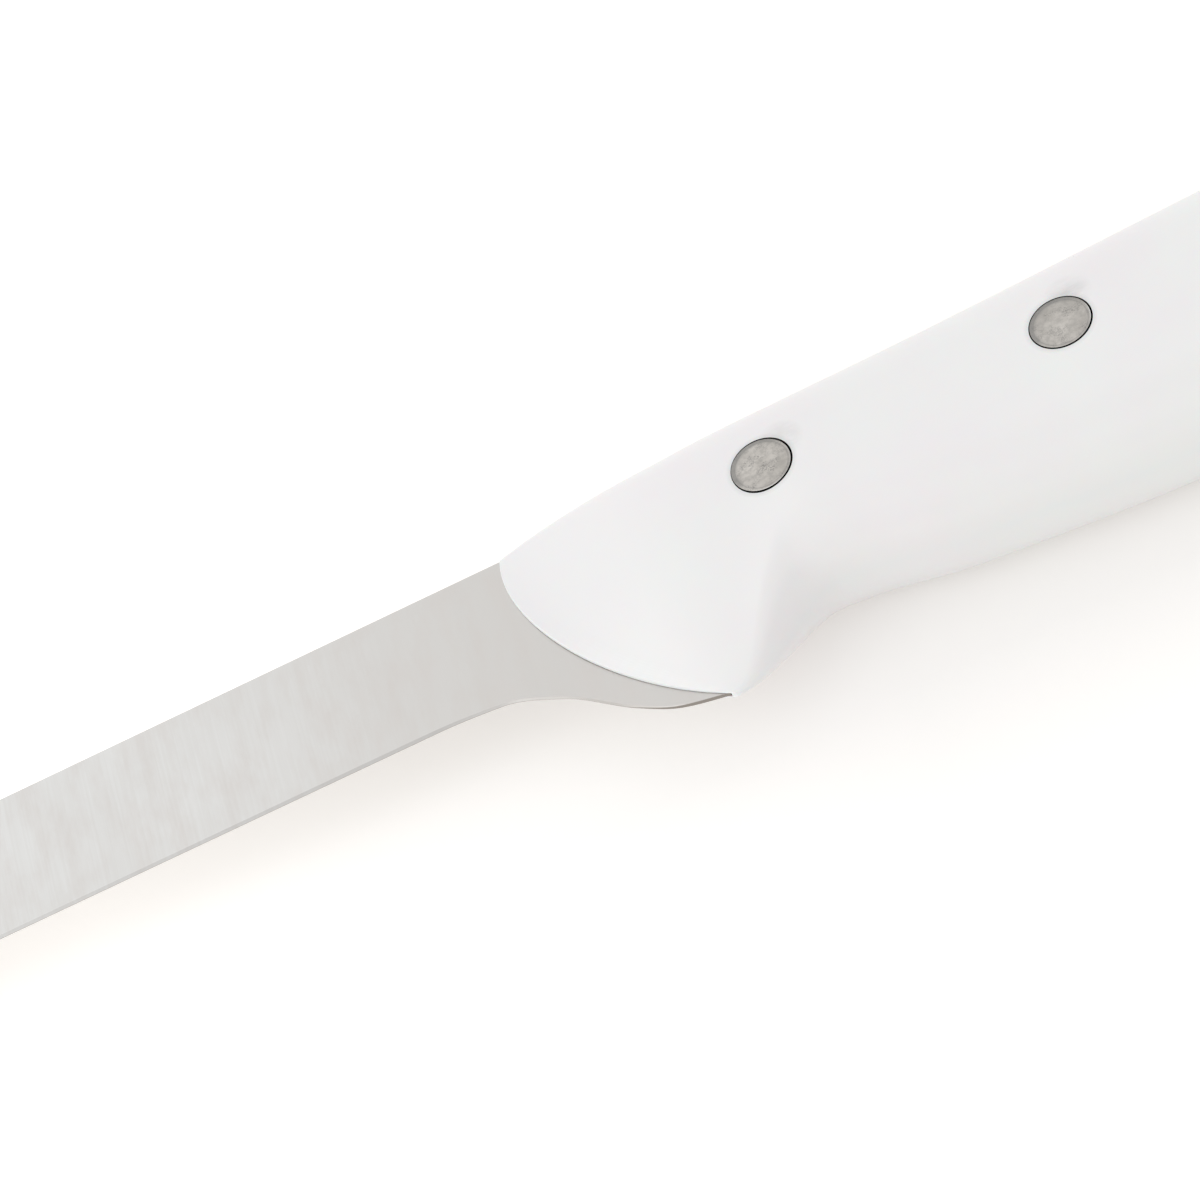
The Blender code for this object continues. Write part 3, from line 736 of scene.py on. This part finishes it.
class Nodes:
    """A material's node tree, filled with short calls."""

    def __init__(self, name):
        self.material = bpy.data.materials.new(name)
        self.material.use_nodes = True
        self.tree = self.material.node_tree
        self.shader = self.tree.nodes["Principled BSDF"]

    def set(self, node, inputs):
        """Set or link a node's inputs by name or place."""
        for key, value in inputs.items():
            if isinstance(value, bpy.types.NodeSocket):
                self.tree.links.new(value, node.inputs[key])
            else:
                node.inputs[key].default_value = value

    def add(self, kind, inputs, **settings):
        """A new node, as its first output."""
        node = self.tree.nodes.new(f"ShaderNode{kind}")
        for key, value in settings.items():
            setattr(node, key, value)
        self.set(node, inputs)
        return node.outputs[0]

    def place(self, scale=(1, 1, 1)):
        """The point on the piece, in metres, stretched by scale."""
        coordinates = self.tree.nodes.new("ShaderNodeTexCoord").outputs["Object"]
        return self.add("Mapping", {"Vector": coordinates, "Scale": scale})

    def noise(self, per_metre, detail=2.0, roughness=0.5):
        """Noise with that many grains a metre, along each axis or along all three."""
        scale = per_metre if isinstance(per_metre, tuple) else (per_metre,) * 3
        return self.add("TexNoise", {"Vector": self.place(scale), "Scale": 1.0, "Detail": detail,
                                     "Roughness": roughness})

    def span(self, value, low, high, to_low=0.0, to_high=1.0):
        """value moved from the range low to high into another, and kept inside it."""
        return self.add("MapRange", {0: value, 1: low, 2: high, 3: to_low, 4: to_high})

    def blend(self, factor, a, b):
        """A colour between two."""
        node = self.tree.nodes.new("ShaderNodeMix")
        node.data_type = "RGBA"
        self.set(node, {0: factor, 6: a, 7: b})
        return node.outputs[2]

    def part(self, kind, output, inputs=None):
        """A new node, as the output of that name."""
        node = self.tree.nodes.new(f"ShaderNode{kind}")
        self.set(node, inputs or {})
        return node.outputs[output]

    def maths(self, operation, a, b=0.0):
        """A sum, product or the like of two values."""
        return self.add("Math", {0: a, 1: b}, operation=operation)

    def coordinate(self, axis):
        """How far along one of the frame's axes the point is."""
        return self.part("SeparateXYZ", axis, {"Vector": self.place()})

    def upright(self):
        """How squarely the face looks up or down: 1 for a level face and 0 for a vertical one."""
        facing = self.part("NewGeometry", "True Normal")
        return self.maths("ABSOLUTE", self.part("SeparateXYZ", "Z", {"Vector": facing}))

    def distance(self, point, scale=(1, 1, 1)):
        """How far the place on the piece is from a point, both stretched by scale."""
        node = self.tree.nodes.new("ShaderNodeVectorMath")
        node.operation = "DISTANCE"
        self.set(node, {0: self.place(scale), 1: Vector(a * b for a, b in zip(point, scale))})
        return node.outputs["Value"]

    def bump(self, height, distance, strength=1.0, under=None):
        """A normal with fine relief, on top of another one if given."""
        inputs = {"Height": height, "Distance": distance, "Strength": strength}
        if under:
            inputs["Normal"] = under
        return self.add("Bump", inputs)


def white_plastic(name, rivets):
    """Satin white moulded plastic, with a soft swirl of tone, grey smears beside the rivets, painted shade
    on its nose and in the rivets' holes, and a painted highlight on its front rim.
    """
    look = Nodes(name)
    swirl = look.noise(*SWIRL_GRAIN)
    tone = look.blend(look.span(swirl, *SWIRL_RANGE), PLASTIC_WARM, PLASTIC_COOL)
    for rivet, place in rivets.items():
        near = look.span(look.distance(place + SMEARS[rivet]), *SMEAR_RUN, SMEAR_COVER, 0.0)
        streaky = look.span(look.noise(*SMEAR_GRAIN), *STREAK_RANGE, STREAK_COVER, 1.0)
        tone = look.blend(look.maths("MULTIPLY", near, streaky), tone, SMEAR_TONE)
        from_middle = look.distance(place, LEVEL)
        rim = look.span(from_middle, HEAD_RADIUS, HEAD_RADIUS + DULL_RIM, DULL_RIM_COVER, 0.0)
        tone = look.blend(rim, tone, SMEAR_TONE)
        # Painted shade: the hole's wall darkened near black, where the gap round the head lies in shade
        crevice_shade = look.span(from_middle, HOLE_RADIUS, HOLE_RADIUS + CREVICE_SHADE_FADE, 1.0, 0.0)
        tone = look.blend(crevice_shade, tone, CREVICE_PAINTED_SHADE)
    forward = look.coordinate("X")
    # Painted shade: the nose's front made slightly darker towards the blade
    tone = look.blend(look.span(forward, *NOSE_SHADE_RUN, 1.0, 0.0), tone, NOSE_PAINTED_SHADE)
    # Painted highlight: the steep faces near the handle's front made lighter
    steep = look.span(look.upright(), *RIM_HIGHLIGHT_FACING, 1.0, 0.0)
    in_front = look.span(forward, *RIM_HIGHLIGHT_END, 1.0, 0.0)
    tone = look.blend(look.maths("MULTIPLY", steep, in_front), tone, RIM_PAINTED_HIGHLIGHT)
    pores = look.noise(*PORE_GRAIN)
    waves = look.noise(*WAVE_GRAIN)
    scuffs = look.noise(*SCUFF_GRAIN)
    rough = look.maths("ADD", look.span(scuffs, *NOISE_RANGE, *SCUFF_ROUGHNESS),
                       look.span(swirl, *NOISE_RANGE, *SWIRL_ROUGHNESS))
    normal = look.bump(pores, *PORE_RELIEF, look.bump(waves, *WAVE_RELIEF))
    look.set(look.shader, {"Base Color": tone, "Roughness": rough, "Normal": normal, "IOR": PLASTIC_IOR,
                           "Subsurface Weight": PLASTIC_SCATTER, "Subsurface Scale": PLASTIC_SCATTER_DEPTH})
    return look.material


def satin_steel(name):
    """Stainless steel with faint grind lines across the blade, duller at its heel and dark on its edges."""
    look = Nodes(name)
    lines = look.noise(*LINE_GRAIN)
    broad = look.noise(*BROAD_GRAIN)
    cloud = look.noise(*CLOUD_GRAIN)
    blotch = look.noise(*BLOTCH_GRAIN)
    upright = look.upright()
    tone = look.blend(look.span(lines, *NOISE_RANGE), STEEL_DARK, STEEL_LIGHT)
    tone = look.blend(look.span(cloud, *CLOUD_RANGE, 0.0, CLOUD_COVER), tone, CLOUD_TONE)
    tone = look.blend(look.span(look.coordinate("X"), *HEEL_DULLING), tone, HEEL_TONE)
    tone = look.blend(look.span(blotch, *BLOTCH_RANGE, 0.0, BLOTCH_COVER), tone, BLOTCH_TONE)
    tone = look.blend(look.span(upright, *BEVEL_FACING, 0.0, BEVEL_COVER), tone, BEVEL_TONE)
    tone = look.blend(look.span(upright, *EDGE_FACING), tone, EDGE_TONE)
    rough = look.maths("ADD", look.span(lines, *LINE_RANGE, *LINE_ROUGHNESS),
                       look.span(broad, *NOISE_RANGE, *BROAD_ROUGHNESS))
    normal = look.bump(lines, *LINE_RELIEF)
    look.set(look.shader, {"Base Color": tone, "Metallic": 1.0, "Roughness": rough, "Normal": normal})
    return look.material


def rivet_metal(name, place, brightness):
    """Dull grey metal with clusters of fine pits, painted shade on its back rim, near-black painted shade on
    its steep sides, and a painted highlight on its front rim.
    """
    look = Nodes(name)
    cloud = look.noise(*RIVET_CLOUD_GRAIN)
    mottle = look.noise(*MOTTLE_GRAIN)
    grains = look.noise(*FINE_GRAIN)
    pits = look.noise(*PIT_GRAIN)
    clusters = look.noise(*CLUSTER_GRAIN)
    from_middle = look.distance(place, LEVEL)
    dark, light = [tuple(brightness * c for c in colour) + (1,) for colour in (RIVET_DARK, RIVET_LIGHT)]
    tone = look.blend(look.span(cloud, *NOISE_RANGE), dark, light)
    tone = look.blend(look.span(mottle, *MOTTLE_RANGE, 0.0, MOTTLE_COVER), tone, MOTTLE_TONE)
    pitted = look.maths("MULTIPLY", look.span(pits, *PIT_RANGE),
                        look.span(clusters, *CLUSTER_RANGE, 0.0, CLUSTER_COVER))
    tone = look.blend(pitted, tone, PIT_TONE)
    tone = look.blend(look.span(from_middle, *OUTER_BAND, 0.0, OUTER_COVER), tone, MOTTLE_TONE)
    # Painted shade: a dark band inside the rim on the head's back side, which faces away from the light
    behind = look.distance(place + SHADED_SIDE_FROM_MIDDLE, LEVEL)
    painted_shade = look.maths("MULTIPLY", look.span(from_middle, *SHADE_BAND),
                       look.span(behind, *SHADE_RUN, SHADE_BAND_COVER, 0.0))
    tone = look.blend(painted_shade, tone, SHADE_AND_LINE_TONE)
    from_line = look.maths("ABSOLUTE", look.maths("SUBTRACT", from_middle, TURNED_LINE))
    tone = look.blend(look.span(from_line, *TURNED_LINE_RUN, LINE_COVER, 0.0), tone, SHADE_AND_LINE_TONE)
    # Painted highlight: a bright band inside the rim on the head's front side, where it would catch the
    # light
    before = look.distance(place - SHADED_SIDE_FROM_MIDDLE, LEVEL)
    painted_highlight = look.maths("MULTIPLY", look.span(from_middle, *HIGHLIGHT_BAND),
                        look.span(before, *HIGHLIGHT_RUN, 1.0, 0.0))
    tone = look.blend(painted_highlight, tone, RIVET_PAINTED_HIGHLIGHT)
    # Painted shade: the head's steep sides darkened near black, where they stand in the shaded gap
    tone = look.blend(look.span(look.upright(), *CREVICE_SHADE_FACING, 1.0, 0.0), tone, CREVICE_PAINTED_SHADE)
    rough = look.span(grains, *NOISE_RANGE, *FINE_ROUGHNESS)
    normal = look.bump(grains, *FINE_RELIEF)
    look.set(look.shader, {"Base Color": tone, "Metallic": 1.0, "Roughness": rough, "Normal": normal})
    return look.material


def make_scale(name, side, pocket, spaces, look):
    """One handle scale: side is 1 for the upper one and -1 for the lower one."""
    sections = [scale_section(x) for x in scale_stations()]
    foot = [(x, y, 0.0) for x, y, _ in sections[0]]
    placed = [[(x, y, HALF_HANDLE + side * z) for x, y, z in section] for section in [foot] + sections]
    whole = shade(loft(placed, name))
    solid = shade(cut(whole.copy(), [pocket] + spaces), whole)
    add_piece(f"{name}_moulding", solid, look, name)
    return BVHTree.FromPolygons([v.co for v in whole.vertices], [tuple(p.vertices) for p in whole.polygons])


def lean(mesh, skins):
    """Lean a rivet's faces, which are made for a flat handle, some way towards the handle's skin."""
    for vertex in mesh.vertices:
        side = 1 if vertex.co.z > HALF_HANDLE else -1
        if abs(vertex.co.z - HALF_HANDLE) > HALF_HANDLE - RIVET_HEAD_HEIGHT / 2:
            above = Vector((vertex.co.x, vertex.co.y, HALF_HANDLE + side * HANDLE_THICKNESS))
            skin = skins[side].ray_cast(above, Vector((0, 0, -side)))[0]
            vertex.co.z += RIVET_LEAN * (skin.z - HALF_HANDLE - side * HALF_HANDLE)
    return mesh


def make_blade(spaces, look):
    """The blade with its tang, crisp along its back, its bevels and its edge."""
    sections = [steel_section(x) for x in steel_stations()]
    whole = shade(loft(sections, "blade", range(len(sections[0]))))
    solid = shade(cut(whole.copy(), spaces), whole)
    add_piece("blade_ground", solid, look, "blade")


def make_rivet(name, place, skins, look):
    """A cutlery rivet: the tube half comes from above and the pin half from below."""
    rim = HOLE_RADIUS - HEAD_GAP
    tube = RIVET_TUBE_DIAMETER / 2
    pin = RIVET_PIN_DIAMETER / 2
    bore = pin + RIVET_INNER_GAP
    top, seat = HANDLE_THICKNESS, HANDLE_THICKNESS - RIVET_HEAD_HEIGHT

    def head(face, inward):
        """The head's face, from its middle over its worn shoulder to its side."""
        flat = rim - RIVET_SHOULDER
        steps = spread(0.0, 1.0, HEAD_STEPS)
        points = [(flat * t, face + inward * RIVET_DOME * t * t) for t in steps]
        for t in steps + [1.0]:
            drop = RIVET_DOME + RIVET_SHOULDER_DROP * t ** SHOULDER_SWEEP
            points.append((flat + RIVET_SHOULDER * t, face + inward * drop))
        return points

    tube_end = RIVET_HEAD_HEIGHT + RIVET_INNER_GAP
    pin_end = seat - RIVET_INNER_GAP
    profiles = {
        "tube": head(top, -1) + [(rim, seat), (tube, seat), (tube, tube_end), (bore, tube_end), (bore, seat),
                                 (0.0, seat)],
        "pin": [(0.0, pin_end), (pin, pin_end), (pin, RIVET_HEAD_HEIGHT), (rim, RIVET_HEAD_HEIGHT)]
               + list(reversed(head(0.0, 1))),
    }
    for half, profile in profiles.items():
        mesh = lean(turned(profile, f"{name}_rivet_{half}", place), skins)
        mesh = shade(mesh, crease=RIVET_CREASE)
        add_piece(f"{name}_rivet_{half}_turned", mesh, look, f"{name}_rivet_{half}")


def make_camera():
    """The camera that took the photograph."""
    back = Vector((math.sin(VIEW_SWING), -math.cos(VIEW_SWING) * math.sin(VIEW_TILT),
                   math.cos(VIEW_SWING) * math.cos(VIEW_TILT)))
    level_up = (Vector((0, 1, 0)) - back * back.y).normalized()
    level_right = level_up.cross(back)
    right = level_right * math.cos(VIEW_ROLL) - level_up * math.sin(VIEW_ROLL)
    up = level_right * math.sin(VIEW_ROLL) + level_up * math.cos(VIEW_ROLL)
    data = bpy.data.cameras.new("camera")
    data.angle = FIELD_OF_VIEW
    camera = bpy.data.objects.new("camera", data)
    bpy.context.scene.collection.objects.link(camera)
    turn = Matrix((right, up, back)).transposed().to_4x4()
    camera.matrix_world = Matrix.Translation(KNIFE_ORIGIN + VIEW_TARGET + back * VIEW_DISTANCE) @ turn
    bpy.context.scene.camera = camera


def make_light(name, direction, distance, size, power, colour):
    """A square softbox that faces the handle from that direction."""
    data = bpy.data.lights.new(name, "AREA")
    data.size = size
    data.energy = power
    data.color = colour
    light = bpy.data.objects.new(name, data)
    light.location = Vector(direction).normalized() * distance
    light.rotation_euler = Vector(direction).to_track_quat("Z", "Y").to_euler()
    bpy.context.scene.collection.objects.link(light)


def make_sky():
    """A pale sky, brightest towards one side."""
    world = bpy.data.worlds.new("studio")
    bpy.context.scene.world = world
    world.use_nodes = True
    tree = world.node_tree
    growth = tree.nodes.new("ShaderNodeVectorMath")
    growth.operation = "DOT_PRODUCT"
    tree.links.new(tree.nodes.new("ShaderNodeTexCoord").outputs["Generated"], growth.inputs[0])
    growth.inputs[1].default_value = SKY_LEAN
    level = tree.nodes.new("ShaderNodeMath")
    tree.links.new(growth.outputs["Value"], level.inputs[0])
    level.inputs[1].default_value = SKY_LEVEL
    tree.nodes["Background"].inputs["Color"].default_value = (1, 1, 1, 1)
    tree.links.new(level.outputs[0], tree.nodes["Background"].inputs["Strength"])


def make_table():
    """A white table that glows a little, more so towards its left and away from the handle."""
    look = Nodes("table_white")
    cloud = look.span(look.noise(TABLE_GRAIN), *NOISE_RANGE)
    across = look.coordinate("X")
    away = look.maths("ABSOLUTE", look.maths("SUBTRACT", look.coordinate("Y"), OPEN_TABLE_MIDDLE))
    beside = look.span(away, *OPEN_TABLE_RUN, 0.0, OPEN_TABLE_GLOW)
    past_butt = look.span(across, *PAST_BUTT_RUN, 0.0, OPEN_TABLE_GLOW)
    glow = look.maths("ADD", look.span(across, *TABLE_GLOW_RUN, *TABLE_GLOW),
                      look.maths("MAXIMUM", beside, past_butt))
    look.set(look.shader, {"Base Color": look.blend(cloud, TABLE_DARK, TABLE_LIGHT),
                           "Roughness": TABLE_ROUGHNESS, "Emission Color": GLOW_COLOUR,
                           "Emission Strength": glow})
    mesh = bpy.data.meshes.new("table")
    corners = [(x * TABLE_REACH, y * TABLE_REACH, 0) for x, y in ((-1, -1), (1, -1), (1, 1), (-1, 1))]
    mesh.from_pydata(corners, [], [(0, 1, 2, 3)])
    mesh.materials.append(look.material)
    table = bpy.data.objects.new("table", mesh)
    bpy.context.scene.collection.objects.link(table)


def make_studio():
    """A white table under a white sky, with a softbox to the left and a larger one in front."""
    make_sky()
    make_light("key_softbox", *KEY_SOFTBOX)
    make_light("front_fill", *FRONT_FILL)
    make_table()
    bpy.context.scene.view_settings.view_transform = "Standard"


def make_knife():
    """The two scales, the blade between them, and the three rivets."""
    places = {name: rivet_place(name) for name in RIVET_NAMES}
    spaces = [rivet_space(place) for place in places.values()]
    pocket = tang_pocket()
    plastic = white_plastic("white_plastic", {name: place + KNIFE_ORIGIN for name, place in places.items()})
    skins = {side: make_scale(f"{name}_handle_scale", side, pocket, spaces, plastic)
             for name, side in (("upper", 1), ("lower", -1))}
    make_blade(spaces, satin_steel("satin_steel"))
    for name in RIVET_NAMES:
        metal = rivet_metal(f"{name}_rivet_metal", places[name] + KNIFE_ORIGIN, RIVET_BRIGHTNESS[name])
        make_rivet(name, places[name] + RIVET_SET_OFFS[name], skins, metal)


make_knife()
make_camera()
make_studio()
